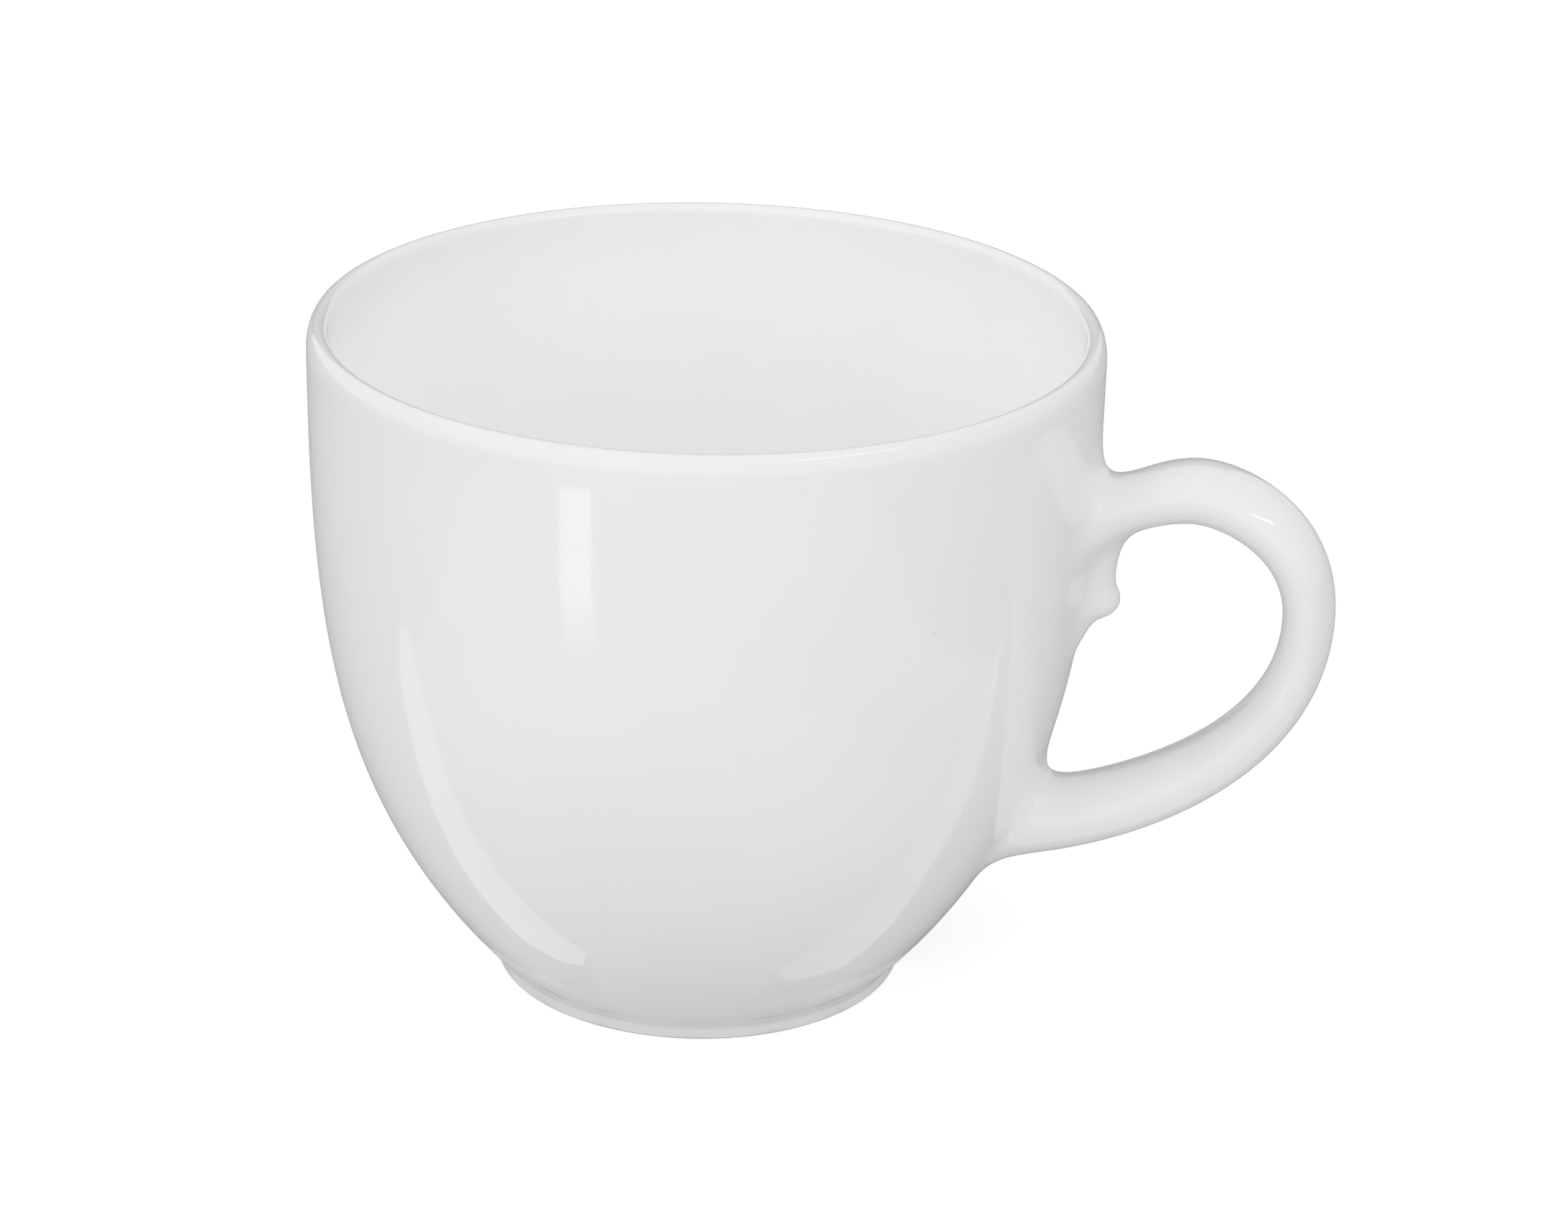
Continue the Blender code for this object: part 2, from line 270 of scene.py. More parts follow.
def smooth_step(share):
    share = min(max(share, 0.0), 1.0)
    return share * share * (3 - 2 * share)


def join_curves(*curves):
    """One list of points from curves that follow each other."""
    joined = list(curves[0])
    for curve in curves[1:]:
        joined += curve[1:]
    return joined


def curve_length(points):
    return sum((following - point).length for point, following in zip(points, points[1:]))


def point_at(points, share):
    """The point at a share of the length of a curve."""
    left = curve_length(points) * share
    for point, following in zip(points, points[1:]):
        step = (following - point).length
        if step >= left:
            break
        left -= step
    return point.lerp(following, min(left / step, 1))


def square_to(points):
    """Unit vectors to the left of a curve's direction, one for each of its points."""
    found = []
    for step in range(len(points)):
        along = points[min(step + 1, len(points) - 1)] - points[max(step - 1, 0)]
        found.append(Vector((-along.y, along.x)).normalized())
    return found


# Cup body


def wall_outline(count=WALL_POINTS):
    """The outer wall as (radius, height) points, from the lip down to the shoulder above the foot."""
    lip = (RIM_RADIUS, CUP_HEIGHT - LIP_OUTER_DEPTH)
    shoulder = (FOOT_RADIUS + SHOULDER_WIDTH, FOOT_HEIGHT + SHOULDER_RISE)
    low_pull = heading(WALL_START_ANGLE, WALL_LOW_PULL)
    return bezier(lip, (0, -WALL_HIGH_PULL), low_pull, shoulder, count)


def inner_outline():
    """The inside from the middle of the floor up to the lip. The wall thins evenly towards the lip."""
    floor_height = FOOT_RECESS + FLOOR_THICKNESS
    outer = wall_outline()
    lip_height = outer[0].y
    inner = []
    for point, normal in zip(outer, square_to(outer)):
        depth = smooth_step((lip_height - point.y) / (lip_height - floor_height))
        thickness = LIP_THICKNESS + (WALL_THICKNESS - LIP_THICKNESS) * depth
        inner.append(point - normal * thickness)
    wall = [point for point in inner if point.y > floor_height + FLOOR_ROUND]
    floor_edge = Vector((FLOOR_RADIUS, floor_height))
    pull = (wall[-1] - floor_edge).length / 2
    down = (wall[-1] - wall[-2]).normalized()
    round_floor = bezier(wall[-1], down * pull, (pull, 0), floor_edge, 2 * CURVE_POINTS)
    middle = Vector((0, floor_height))
    floor = [middle.lerp(floor_edge, step / CURVE_POINTS) for step in range(CURVE_POINTS)]
    return floor + round_floor[::-1] + wall[-2::-1]


def lip_outline():
    """The rounded lip from the inner wall over its crest, up to where the outer wall starts."""
    crest_radius = RIM_RADIUS - LIP_OUTER_ROUND
    outline = []
    for step in range(2 * CURVE_POINTS):
        towards = heading(math.pi * (1 - step / (2 * CURVE_POINTS)))
        inside = step < CURVE_POINTS
        width = LIP_THICKNESS - LIP_OUTER_ROUND if inside else LIP_OUTER_ROUND
        depth = LIP_INNER_DEPTH if inside else LIP_OUTER_DEPTH
        height = CUP_HEIGHT - depth * (1 - towards.y)
        outline.append(Vector((crest_radius + width * towards.x, height)))
    return outline


def foot_outline():
    """From the shoulder through the glaze crease, round the foot ring and under the floor."""
    shoulder = wall_outline()[-1]
    inner_radius = FOOT_RADIUS - FOOT_RING_WIDTH
    edge = FOOT_EDGE
    crease = bezier(
        shoulder, heading(WALL_START_ANGLE, -CREASE_PULL), (0, CREASE_PULL),
        (FOOT_RADIUS, FOOT_HEIGHT - CREASE_PULL), CURVE_POINTS
    )
    outer_edge = bezier(
        (FOOT_RADIUS, edge), (0, -edge / 2), (edge / 2, 0), (FOOT_RADIUS - edge, 0), CURVE_POINTS
    )
    inner_edge = bezier(
        (inner_radius + edge, 0), (-edge / 2, 0), (0, -edge / 2), (inner_radius, edge), CURVE_POINTS
    )
    slope_top = Vector((inner_radius - FOOT_INNER_SLOPE, FOOT_RECESS))
    hollow_start = slope_top - Vector((-edge, 2 * edge))
    hollow_end = slope_top - Vector((edge, 0))
    hollow = bezier(hollow_start, (-edge / 2, edge), (edge, 0), hollow_end, CURVE_POINTS)
    middle = Vector((0, FOOT_RECESS))
    underside = [hollow[-1].lerp(middle, step / CURVE_POINTS) for step in range(1, CURVE_POINTS + 1)]
    return crease[1:] + outer_edge + inner_edge + hollow + underside


def model_body():
    """The body: its outline drawn from one vertex, spun about the axis and closed."""
    outline = inner_outline() + lip_outline() + wall_outline() + foot_outline()
    bpy.ops.mesh.primitive_plane_add(size=FOOT_EDGE)
    body = bpy.context.object
    body.name = "glazed_body"
    bpy.ops.object.mode_set(mode="EDIT")
    bpy.ops.mesh.select_all(action="SELECT")
    bpy.ops.mesh.merge(type="CENTER")
    bpy.ops.transform.translate(value=(outline[0].x, 0, outline[0].y))
    for point, following in zip(outline, outline[1:]):
        move = following - point
        bpy.ops.mesh.extrude_vertices_move(TRANSFORM_OT_translate={"value": (move.x, 0, move.y)})
    bpy.ops.mesh.select_all(action="SELECT")
    bpy.ops.mesh.spin(steps=TURN_STEPS, angle=2 * math.pi, center=(0, 0, 0), axis=(0, 0, 1))
    bpy.ops.mesh.select_all(action="SELECT")
    bpy.ops.mesh.remove_doubles(threshold=MERGE_DISTANCE)
    bpy.ops.mesh.normals_make_consistent(inside=False)
    bpy.ops.object.mode_set(mode="OBJECT")
    bpy.ops.object.shade_smooth()
    return body


# Handle

FINE_WALL = wall_outline(PATH_POINTS)[::-1]


def wall_radius(height):
    """The outer wall's radius at a height."""
    for low, high in zip(FINE_WALL, FINE_WALL[1:]):
        if height <= high.y:
            break
    return low.x + (high.x - low.x) * (height - low.y) / (high.y - low.y)


def wall_place(out, height):
    """The point of the handle's plane at a distance out from the wall."""
    return Vector((wall_radius(height) + out, height))


def handle_path():
    """The centreline in three curves, by the crest and the outermost point, from root to root."""
    upper = wall_place(0, UPPER_ROOT_HEIGHT)
    lower = wall_place(0, LOWER_ROOT_HEIGHT)
    crest = upper + Vector((CREST_REACH, CREST_RISE))
    outermost = upper + Vector((LOOP_REACH, -LOOP_DROP))
    rise = bezier(upper, heading(UPPER_ROOT_ANGLE, UPPER_ROOT_PULL), (-CREST_PULL, 0), crest)
    turn = bezier(crest, (CREST_PULL, 0), (0, LOOP_TOP_PULL), outermost)
    low_pull = heading(LOWER_ROOT_ANGLE, LOWER_ROOT_PULL)
    sweep = bezier(outermost, (0, -LOOP_LOW_PULL), low_pull, lower)
    return rise, turn, sweep


class HandleForm:
    """The handle's form as a distance from its surface: below zero inside it, above zero outside."""

    def __init__(self):
        rise, turn, sweep = handle_path()
        path = join_curves(rise, turn, sweep)
        path.insert(0, path[0] + (path[0] - path[1]).normalized() * ROOT_DEPTH)
        path.append(path[-1] + (path[-1] - path[-2]).normalized() * ROOT_DEPTH)
        self.path = np.array([tuple(point) for point in path])
        steps = np.diff(self.path, axis=0)
        self.along = np.concatenate(([0], np.cumsum(np.hypot(steps[:, 0], steps[:, 1]))))
        places = [self.along[len(curve) - 1] for curve in (rise, rise + turn[1:])]
        marks = [ROOT_DEPTH, places[0], places[1], self.along[-1] - ROOT_DEPTH]
        self.marks = marks
        heading_of = np.gradient(self.path, self.along, axis=0)
        heading_of /= np.hypot(heading_of[:, 0], heading_of[:, 1])[:, None]
        self.heading = heading_of
        thicknesses = [UPPER_THICKNESS, CREST_THICKNESS, LOOP_THICKNESS, LOWER_THICKNESS]
        widths = [UPPER_WIDTH, CREST_WIDTH, LOOP_WIDTH, LOWER_WIDTH]
        self.half_thickness = np.array(thicknesses) / 2
        self.half_width = np.array(widths) / 2
        wall = np.array([tuple(point) for point in FINE_WALL])
        self.wall_heights = wall[:, 1]
        self.wall_radii = wall[:, 0]
        lean = np.gradient(wall[:, 0], wall[:, 1])
        self.wall_lean = 1 / np.sqrt(1 + lean * lean)

    def blended(self, along, values):
        """A value that goes smoothly from mark to mark along the path."""
        share = np.clip(np.interp(along, self.marks, range(len(self.marks))), 0, len(self.marks) - 1)
        start = np.minimum(share.astype(int), len(self.marks) - 2)
        step = share - start
        step = step * step * (3 - 2 * step)
        return values[start] + (values[start + 1] - values[start]) * step

    def along_path(self, points):
        """How far along the path each point lies."""
        flat = points[:, [0, 2]]
        gaps = ((flat[:, None] - self.path[None]) ** 2).sum(2)
        nearest = gaps.argmin(1)
        along = self.along[nearest] + ((flat - self.path[nearest]) * self.heading[nearest]).sum(1)
        return np.clip(along, 0, self.along[-1])

    def loop(self, points):
        """The distance from the oval skin of the loop."""
        along = self.along_path(points)
        centre_x = np.interp(along, self.along, self.path[:, 0])
        centre_z = np.interp(along, self.along, self.path[:, 1])
        towards_x = np.interp(along, self.along, self.heading[:, 0])
        towards_z = np.interp(along, self.along, self.heading[:, 1])
        across = (points[:, 2] - centre_z) * towards_x - (points[:, 0] - centre_x) * towards_z
        thick = self.blended(along, self.half_thickness)
        wide = self.blended(along, self.half_width)
        share = np.hypot(across / thick, points[:, 1] / wide) + TINY
        slope = np.hypot(across / thick ** 2, points[:, 1] / wide ** 2) + TINY
        return share * (share - 1) / slope

    def wall(self, points):
        """The distance from the round outer wall."""
        radius = np.interp(points[:, 2], self.wall_heights, self.wall_radii)
        lean = np.interp(points[:, 2], self.wall_heights, self.wall_lean)
        return (np.hypot(points[:, 0], points[:, 1]) - radius) * lean

    def nib(self, points):
        """The distance from the nib: its neck, its round tip and its tail."""
        tip = wall_place(*TIP_PLACE)
        neck = rod(points, wall_place(*NECK_TOP), wall_place(*NECK_LOW), NECK_RADIUS)
        tail = rod(points, tip, wall_place(*TAIL_PLACE), TAIL_RADIUS)
        ball = rod(points, tip, tip, TIP_RADIUS)
        return melt(melt(neck, ball, TIP_BLEND), tail, TIP_BLEND)

    def rooted(self, points):
        """The loop and the nib, melted together."""
        return melt(self.loop(points), self.nib(points), NIB_BLEND)

    def wall_blend(self, points):
        """How far the handle melts into the wall at the height of each point."""
        return np.interp(points[:, 2], WALL_BLEND_HEIGHTS, WALL_BLENDS)

    def whole(self, points):
        """The handle and the wall, melted together."""
        return melt(self.rooted(points), self.wall(points), self.wall_blend(points))

    def settle(self, points, steps):
        """Moves points onto the surface, down or up its slope."""
        points = points.copy()
        for _ in range(steps):
            value = self.whole(points)
            slope = np.zeros_like(points)
            for axis in range(3):
                probe = np.zeros(3)
                probe[axis] = SLOPE_PROBE
                slope[:, axis] = (self.whole(points + probe) - value) / SLOPE_PROBE
            step = np.clip(value / (slope ** 2).sum(1), -LONGEST_SETTLE, LONGEST_SETTLE)
            points -= slope * step[:, None]
        return points


def rod(points, start, end, radius):
    """The distance from a round rod in the handle's plane."""
    start = np.array((start.x, 0, start.y))
    run = np.array((end.x, 0, end.y)) - start
    share = np.clip((points - start) @ run / max(run @ run, TINY), 0, 1)
    return np.linalg.norm(points - start - share[:, None] * run, axis=1) - radius


def melt(first, second, reach):
    """The nearer of two forms, rounded where they are both within a reach."""
    near = np.maximum(reach - np.abs(first - second), 0) / reach
    return np.minimum(first, second) - near ** 3 * reach / 6


def wall_reach(height, side):
    """How far along +X the wall reaches at a height, a distance to one side of the handle's plane."""
    return math.sqrt(wall_radius(height) ** 2 - side ** 2)


def loop_ring(form, along):
    """An oval ring round the centreline."""
    centre = np.array([np.interp(along, form.along, form.path[:, axis]) for axis in (0, 1)])
    towards = np.array([np.interp(along, form.along, form.heading[:, axis]) for axis in (0, 1)])
    square = np.array((-towards[1], towards[0]))
    thick = form.blended(np.array([along]), form.half_thickness)[0]
    wide = form.blended(np.array([along]), form.half_width)[0]
    ring = []
    for step in range(HANDLE_SIDES):
        angle = 2 * math.pi * step / HANDLE_SIDES
        x, z = centre + square * thick * math.cos(angle)
        ring.append((x, wide * math.sin(angle), z))
    return ring


def extrude_rings(name, rings):
    """An open tube: a circle set on the first ring, and extruded onto each of the others."""
    bpy.ops.mesh.primitive_circle_add(vertices=HANDLE_SIDES, radius=CREST_WIDTH / 2)
    tube = bpy.context.object
    tube.name = name
    bpy.ops.object.mode_set(mode="EDIT")
    bpy.ops.mesh.select_all(action="SELECT")
    form = bmesh.from_edit_mesh(tube.data)
    side = form.verts.layers.int.new("side")
    for number, vertex in enumerate(form.verts):
        vertex[side] = number
        vertex.co = rings[0][number]
    for ring in rings[1:]:
        bmesh.update_edit_mesh(tube.data)
        bpy.ops.mesh.extrude_region_move()
        form = bmesh.from_edit_mesh(tube.data)
        side = form.verts.layers.int["side"]
        for vertex in form.verts:
            if vertex.select:
                vertex.co = ring[vertex[side]]
    bmesh.update_edit_mesh(tube.data)
    bpy.ops.object.mode_set(mode="OBJECT")
    return tube


def apply_modifier(piece, kind, **settings):
    """Adds a modifier with these settings and applies it."""
    modifier = piece.modifiers.new(kind.lower(), kind)
    for setting, value in settings.items():
        setattr(modifier, setting, value)
    bpy.context.view_layer.objects.active = piece
    bpy.ops.object.modifier_apply(modifier=modifier.name)


def add_nib():
    """Balls that fill the finger nib, added to the mesh that is being edited."""
    run = [Vector(place) for place in (NECK_TOP, NECK_LOW, TIP_PLACE, TAIL_PLACE)]
    for step in range(NIB_BALLS + 1):
        out, height = point_at(run, step / NIB_BALLS)
        for depth in (0, out / 2, out):
            place = wall_place(depth, height)
            bpy.ops.mesh.primitive_uv_sphere_add(
                segments=BALL_SEGMENTS, ring_count=BALL_RINGS, radius=NECK_RADIUS,
                location=(place.x, 0, place.y)
            )


def model_wall_patch():
    """A piece of the wall under both roots, as thick as it needs to be to merge with the handle."""
    bpy.ops.mesh.primitive_grid_add(x_subdivisions=PATCH_STEPS, y_subdivisions=PATCH_STEPS, size=2)
    patch = bpy.context.object
    for vertex in patch.data.vertices:
        across = vertex.co.x * PATCH_REACH
        height = PATCH_LOW + (PATCH_HIGH - PATCH_LOW) * (vertex.co.y + 1) / 2
        vertex.co = (wall_reach(height, across), across, height)
    apply_modifier(patch, "SOLIDIFY", thickness=PATCH_THICKNESS, offset=-1)
    return patch


def move_vertices(piece, places):
    piece.data.vertices.foreach_set("co", places.ravel())
    piece.data.update()


def vertex_places(piece):
    places = np.empty(3 * len(piece.data.vertices))
    piece.data.vertices.foreach_get("co", places)
    return places.reshape(-1, 3)


def delete_vertices(piece, unwanted):
    """Deletes the vertices that are marked, and the edges that are left without a face."""
    bpy.ops.object.mode_set(mode="EDIT")
    bpy.ops.mesh.select_all(action="DESELECT")
    mesh = bmesh.from_edit_mesh(piece.data)
    for vertex, marked in zip(mesh.verts, unwanted):
        vertex.select = bool(marked)
    mesh.select_flush_mode()
    bmesh.update_edit_mesh(piece.data)
    bpy.ops.mesh.delete(type="VERT")
    bpy.ops.mesh.select_all(action="SELECT")
    bpy.ops.mesh.delete_loose()
    bpy.ops.object.mode_set(mode="OBJECT")


def model_handle():
    """The handle: a loop merged with its nib and the wall, then drawn onto one smooth form."""
    form = HandleForm()
    rings = [loop_ring(form, form.along[-1] * step / LOOP_RINGS) for step in range(LOOP_RINGS + 1)]
    handle = extrude_rings("glazed_handle", rings)
    bpy.ops.object.mode_set(mode="EDIT")
    bpy.ops.mesh.select_all(action="SELECT")
    bpy.ops.mesh.fill_holes(sides=0)
    add_nib()
    bpy.ops.mesh.select_all(action="SELECT")
    bpy.ops.mesh.normals_make_consistent(inside=False)
    bpy.ops.object.mode_set(mode="OBJECT")
    patch = model_wall_patch()
    bpy.ops.object.select_all(action="DESELECT")
    patch.select_set(True)
    handle.select_set(True)
    bpy.context.view_layer.objects.active = handle
    bpy.ops.object.join()
    apply_modifier(handle, "REMESH", mode="VOXEL", voxel_size=HANDLE_VOXEL)
    delete_vertices(handle, form.wall(vertex_places(handle)) < -PATCH_CUT)
    move_vertices(handle, form.settle(vertex_places(handle), SETTLE_STEPS))
    places = vertex_places(handle)
    delete_vertices(handle, form.rooted(places) > form.wall_blend(places) + PATCH_MARGIN)
    apply_modifier(handle, "SUBSURF", levels=1, render_levels=1)
    move_vertices(handle, form.settle(vertex_places(handle), LAST_SETTLE_STEPS))
    bpy.ops.object.mode_set(mode="EDIT")
    bpy.ops.mesh.select_all(action="DESELECT")
    bpy.ops.mesh.select_non_manifold()
    bpy.ops.transform.translate(value=(-WALL_SINK, 0, 0))
    bpy.ops.mesh.extrude_region_move(TRANSFORM_OT_translate={"value": (-SEAT_DEPTH, 0, 0)})
    bpy.ops.mesh.select_all(action="SELECT")
    bpy.ops.mesh.fill_holes(sides=0)
    bpy.ops.mesh.select_all(action="SELECT")
    bpy.ops.mesh.normals_make_consistent(inside=False)
    bpy.ops.object.mode_set(mode="OBJECT")
    bpy.ops.object.shade_smooth_by_angle(angle=SMOOTH_ANGLE)
    return handle


# Materials


def noise(nodes, links, place, scale, detail):
    """A noise texture on a place, with its scale in patches for each metre."""
    texture = nodes.new("ShaderNodeTexNoise")
    texture.inputs["Scale"].default_value = scale
    texture.inputs["Detail"].default_value = detail
    links.new(place.outputs["Object"], texture.inputs["Vector"])
    return texture.outputs[0]


def spread(nodes, links, value, start, end, low, high):
    """Turns the stretch of a value from start to end into a stretch from low to high."""
    stretch = nodes.new("ShaderNodeMapRange")
    stretch.interpolation_type = "SMOOTHSTEP"
    stretch.inputs["From Min"].default_value = start
    stretch.inputs["From Max"].default_value = end
    stretch.inputs["To Min"].default_value = low
    stretch.inputs["To Max"].default_value = high
    links.new(value, stretch.inputs["Value"])
    return stretch.outputs[0]


def tint(nodes, links, share, low, high):
    """Mixes two colours, or a colour that is already a socket, by a share."""
    mix = nodes.new("ShaderNodeMix")
    mix.data_type = "RGBA"
    links.new(share, mix.inputs["Factor"])
    for socket, colour in (("A", low), ("B", high)):
        socket = next(each for each in mix.inputs if each.name == socket and each.type == "RGBA")
        if isinstance(colour, tuple):
            socket.default_value = (*colour, 1)
        else:
            links.new(colour, socket)
    return next(each for each in mix.outputs if each.type == "RGBA")


def waves(nodes, links, height, distance, below=None):
    """A bump from a height texture, on top of another bump if there is one."""
    bump = nodes.new("ShaderNodeBump")
    bump.inputs["Strength"].default_value = 1
    bump.inputs["Distance"].default_value = distance
    links.new(height, bump.inputs["Height"])
    if below:
        links.new(below, bump.inputs["Normal"])
    return bump.outputs[0]


def glazed_porcelain():
    """White glaze with faint clouds, waves and specks, pooled above the foot. The foot's rim is bare."""
    material = bpy.data.materials.new("glazed_porcelain")
    material.use_nodes = True
    nodes = material.node_tree.nodes
    links = material.node_tree.links
    shader = nodes["Principled BSDF"]
    shader.inputs["IOR"].default_value = GLAZE_IOR
    place = nodes.new("ShaderNodeTexCoord")
    parts = nodes.new("ShaderNodeSeparateXYZ")
    links.new(place.outputs["Object"], parts.inputs[0])
    height = parts.outputs["Z"]
    bare = spread(nodes, links, height, BARE_HEIGHT, 2 * BARE_HEIGHT, 1, 0)
    pooled = spread(nodes, links, height, FOOT_HEIGHT, POOL_HEIGHT, 1, 0)
    cloud_noise = noise(nodes, links, place, CLOUD_SCALE, CLOUD_DETAIL)
    clouds = spread(nodes, links, cloud_noise, CLOUD_START, CLOUD_END, 0, 1)
    grain = noise(nodes, links, place, GRAIN_SCALE, GRAIN_DETAIL)
    spots = nodes.new("ShaderNodeTexVoronoi")
    spots.inputs["Scale"].default_value = SPECK_SCALE
    links.new(place.outputs["Object"], spots.inputs["Vector"])
    speck_edge = SPECK_RADIUS * SPECK_SCALE
    speck = spread(nodes, links, spots.outputs["Distance"], speck_edge / 2, speck_edge, 1, 0)
    glaze = tint(nodes, links, clouds, GLAZE_COLOUR, CLOUD_COLOUR)
    glaze = tint(nodes, links, pooled, glaze, POOL_COLOUR)
    glaze = tint(nodes, links, speck, glaze, SPECK_COLOUR)
    clay = tint(nodes, links, grain, CLAY_COLOUR, WORN_COLOUR)
    links.new(tint(nodes, links, bare, glaze, clay), shader.inputs["Base Color"])
    gloss = spread(nodes, links, clouds, 0, 1, GLAZE_ROUGHNESS, CLOUD_ROUGHNESS)
    roughness = nodes.new("ShaderNodeMix")
    links.new(bare, roughness.inputs["Factor"])
    links.new(gloss, roughness.inputs["A"])
    roughness.inputs["B"].default_value = CLAY_ROUGHNESS
    links.new(roughness.outputs["Result"], shader.inputs["Roughness"])
    ripple_noise = noise(nodes, links, place, RIPPLE_SCALE, RIPPLE_DETAIL)
    ripple = waves(nodes, links, ripple_noise, RIPPLE_DEPTH)
    bare_grain = nodes.new("ShaderNodeMath")
    bare_grain.operation = "MULTIPLY"
    links.new(grain, bare_grain.inputs[0])
    links.new(bare, bare_grain.inputs[1])
    relief = waves(nodes, links, bare_grain.outputs[0], GRAIN_DEPTH, ripple)
    links.new(relief, shader.inputs["Normal"])
    return material


# Studio


def make_floor():
    """A grey sheet. The camera sees it lit up to white, with the cup's soft shadow on it."""
    bpy.ops.mesh.primitive_plane_add(size=FLOOR_SIZE)
    floor = bpy.context.object
    floor.name = "floor"
    material = bpy.data.materials.new("floor_sheet")
    material.use_nodes = True
    nodes = material.node_tree.nodes
    links = material.node_tree.links
    sheet = nodes["Principled BSDF"]
    sheet.inputs["Base Color"].default_value = FLOOR_COLOUR
    sheet.inputs["Roughness"].default_value = FLOOR_ROUGHNESS
    rays = nodes.new("ShaderNodeLightPath")
    whitening = nodes.new("ShaderNodeEmission")
    whitening.inputs["Color"].default_value = FLOOR_WHITENING
    both = nodes.new("ShaderNodeAddShader")
    links.new(rays.outputs["Is Camera Ray"], whitening.inputs["Strength"])
    links.new(sheet.outputs[0], both.inputs[0])
    links.new(whitening.outputs[0], both.inputs[1])
    links.new(both.outputs[0], nodes["Material Output"].inputs["Surface"])
    floor.data.materials.append(material)


def make_world():
    """A light tent, a little brighter on one side and darker overhead. The camera sees plain white."""
    world = bpy.data.worlds.new("studio")
    bpy.context.scene.world = world
    world.use_nodes = True
    nodes = world.node_tree.nodes
    links = world.node_tree.links
    direction = nodes.new("ShaderNodeTexCoord")
    facing = nodes.new("ShaderNodeVectorMath")
    facing.operation = "DOT_PRODUCT"
    facing.inputs[1].default_value = TENT_SIDE
    links.new(direction.outputs["Generated"], facing.inputs[0])
    front = nodes.new("ShaderNodeMapRange")
    front.inputs["From Min"].default_value = -1
    front.inputs["To Min"].default_value = TENT_BACK
    front.inputs["To Max"].default_value = TENT_FRONT
    links.new(facing.outputs["Value"], front.inputs["Value"])
    parts = nodes.new("ShaderNodeSeparateXYZ")
    links.new(direction.outputs["Generated"], parts.inputs[0])
    top = nodes.new("ShaderNodeMapRange")
    top.inputs["To Min"].default_value = 1
    top.inputs["To Max"].default_value = TENT_TOP
    links.new(parts.outputs["Z"], top.inputs["Value"])
    brightness = nodes.new("ShaderNodeMath")
    brightness.operation = "MULTIPLY"
    links.new(front.outputs[0], brightness.inputs[0])
    links.new(top.outputs[0], brightness.inputs[1])
    tent = nodes["Background"]
    tent.inputs["Color"].default_value = (1, 1, 1, 1)
    links.new(brightness.outputs[0], tent.inputs["Strength"])
    backdrop = nodes.new("ShaderNodeBackground")
    backdrop.inputs["Color"].default_value = (1, 1, 1, 1)
    rays = nodes.new("ShaderNodeLightPath")
    seen = nodes.new("ShaderNodeMixShader")
    links.new(rays.outputs["Is Camera Ray"], seen.inputs[0])
    links.new(tent.outputs[0], seen.inputs[1])
    links.new(backdrop.outputs[0], seen.inputs[2])
    links.new(seen.outputs[0], nodes["World Output"].inputs["Surface"])


def card_material(name, near, far):
    """A card that shines upwards, its brightness set near and far from the cup's axis; on the cards by the
    foot the dimmer near end is painted shade from the cup. From below it is clear.
    """
    material = bpy.data.materials.new(name)
    material.use_nodes = True
    nodes = material.node_tree.nodes
    links = material.node_tree.links
    nodes.remove(nodes["Principled BSDF"])
    place = nodes.new("ShaderNodeTexCoord")
    distance = nodes.new("ShaderNodeVectorMath")
    distance.operation = "LENGTH"
    shade = nodes.new("ShaderNodeMapRange")
    # Painted shade: the glow is dimmer near the axis, as if the cup shaded the card
    shade.inputs["From Min"].default_value = near[0]
    shade.inputs["To Min"].default_value = near[1]
    shade.inputs["From Max"].default_value = far[0]
    shade.inputs["To Max"].default_value = far[1]
    shine = nodes.new("ShaderNodeEmission")
    links.new(place.outputs["Object"], distance.inputs[0])
    links.new(distance.outputs["Value"], shade.inputs["Value"])
    links.new(shade.outputs[0], shine.inputs["Strength"])
    clear = nodes.new("ShaderNodeBsdfTransparent")
    side = nodes.new("ShaderNodeNewGeometry")
    pick = nodes.new("ShaderNodeMixShader")
    links.new(side.outputs["Backfacing"], pick.inputs[0])
    links.new(shine.outputs[0], pick.inputs[1])
    links.new(clear.outputs[0], pick.inputs[2])
    links.new(pick.outputs[0], nodes["Material Output"].inputs["Surface"])
    return material


def lay_card(name, corners, height, near, far):
    """A glowing card that lies flat in front of the cup, in place of a lit bounce card. Only the cup and
    its reflections see it.
    """
    bpy.ops.mesh.primitive_circle_add(vertices=len(corners), fill_type="NGON")
    card = bpy.context.object
    card.name = name
    for vertex, (x, y) in zip(card.data.vertices, corners):
        vertex.co = (x, y, height)
    card.data.update()
    bpy.ops.object.mode_set(mode="EDIT")
    bpy.ops.mesh.select_all(action="SELECT")
    bpy.ops.mesh.quads_convert_to_tris()
    bpy.ops.object.mode_set(mode="OBJECT")
    if card.data.polygons[0].normal.z < 0:
        card.data.flip_normals()
    card.visible_camera = False
    card.visible_shadow = False
    card.data.materials.append(card_material(name, near, far))


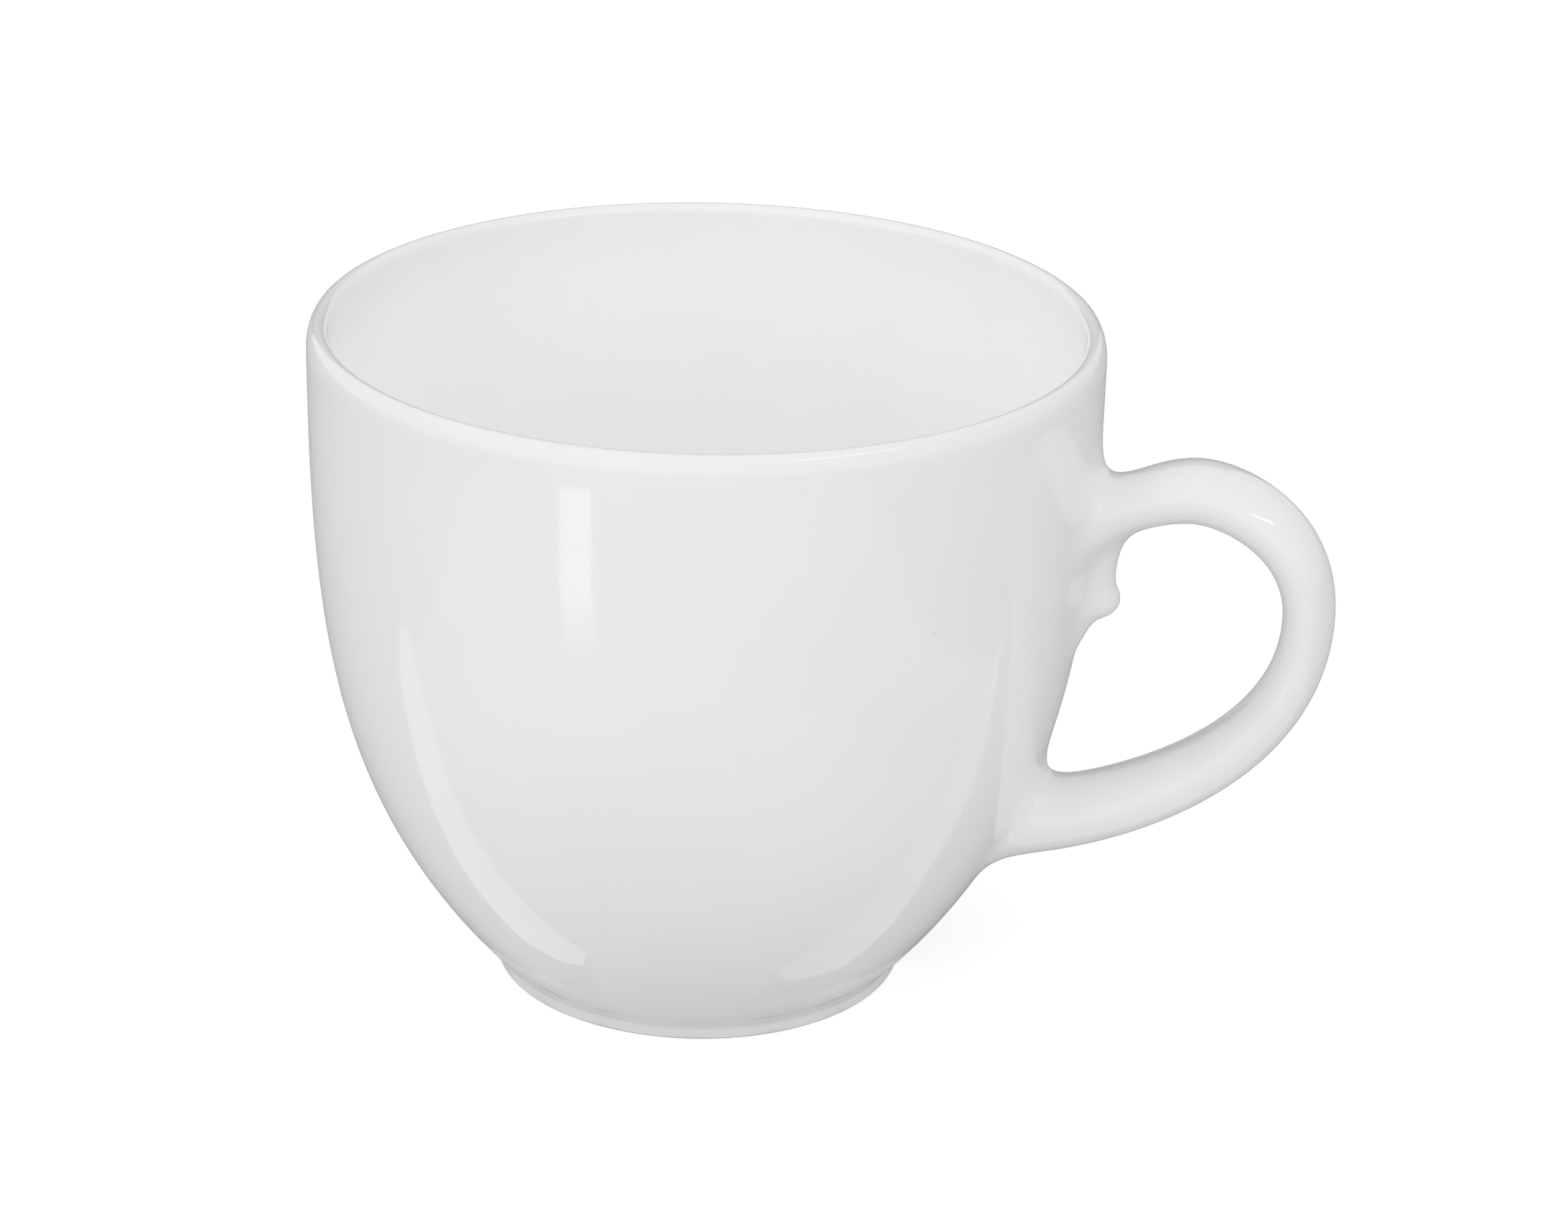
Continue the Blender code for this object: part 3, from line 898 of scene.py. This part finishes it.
def stand_flag():
    """A dark sheet that stands behind the cup, for darker edges. The camera doesn't see it."""
    bpy.ops.mesh.primitive_plane_add(size=1, rotation=(math.pi / 2, 0, 0), location=FLAG_PLACE)
    flag = bpy.context.object
    flag.name = "dark_flag"
    flag.scale = (*FLAG_SIZE, 1)
    material = bpy.data.materials.new("flag_cloth")
    material.use_nodes = True
    cloth = material.node_tree.nodes["Principled BSDF"]
    cloth.inputs["Base Color"].default_value = FLAG_COLOUR
    cloth.inputs["Roughness"].default_value = 1
    flag.data.materials.append(material)
    flag.visible_camera = False


def add_lamp(name, target, place, size, brightness):
    """A flat lamp of a size in metres that faces a target. Its brightness is that of its surface."""
    light = bpy.data.lights.new(name, "AREA")
    light.shape = "RECTANGLE"
    light.size = size[0]
    light.size_y = size[1]
    light.energy = brightness * math.pi * size[0] * size[1]
    lamp = bpy.data.objects.new(name, light)
    bpy.context.scene.collection.objects.link(lamp)
    lamp.location = place
    lamp.rotation_euler = (Vector(target) - Vector(place)).to_track_quat("-Z", "Y").to_euler()
    lamp.visible_camera = False
    return lamp


def make_lights():
    """The flag, the cards, a lamp for the highlights on the right, and one for the inside."""
    cup_middle = (0, 0, CUP_HEIGHT / 2)
    stand_flag()
    for name, card in CARDS.items():
        lay_card(name, *card)
    add_lamp("right_lamp", cup_middle, *RIGHT_LAMP)
    bowl_lamp = add_lamp("bowl_lamp", BOWL_LAMP_TARGET, *BOWL_LAMP)
    bowl_lamp.data.shape = "DISK"
    bowl_lamp.visible_glossy = False


def make_camera():
    """The camera: its place, lens and lean."""
    lens = bpy.data.cameras.new("camera")
    lens.lens = CAMERA_LENS
    lens.sensor_width = CAMERA_SENSOR
    lens.clip_start = CAMERA_CLIP
    camera = bpy.data.objects.new("camera", lens)
    bpy.context.scene.collection.objects.link(camera)
    camera.location = CAMERA_PLACE
    look = (Vector(CAMERA_TARGET) - Vector(CAMERA_PLACE)).to_track_quat("-Z", "Y")
    camera.rotation_mode = "QUATERNION"
    camera.rotation_quaternion = look @ Quaternion((0, 0, 1), CAMERA_ROLL)
    bpy.context.scene.camera = camera


bpy.context.scene.view_settings.view_transform = "Standard"
make_world()
make_camera()
make_floor()
make_lights()

porcelain = glazed_porcelain()

body = model_body()
body.data.materials.append(porcelain)
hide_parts("cup_body")
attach(body, "root")

handle = model_handle()
handle.data.materials.append(porcelain)
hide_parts("handle", "upper_slip_joint", "lower_slip_joint")
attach(handle, "root")
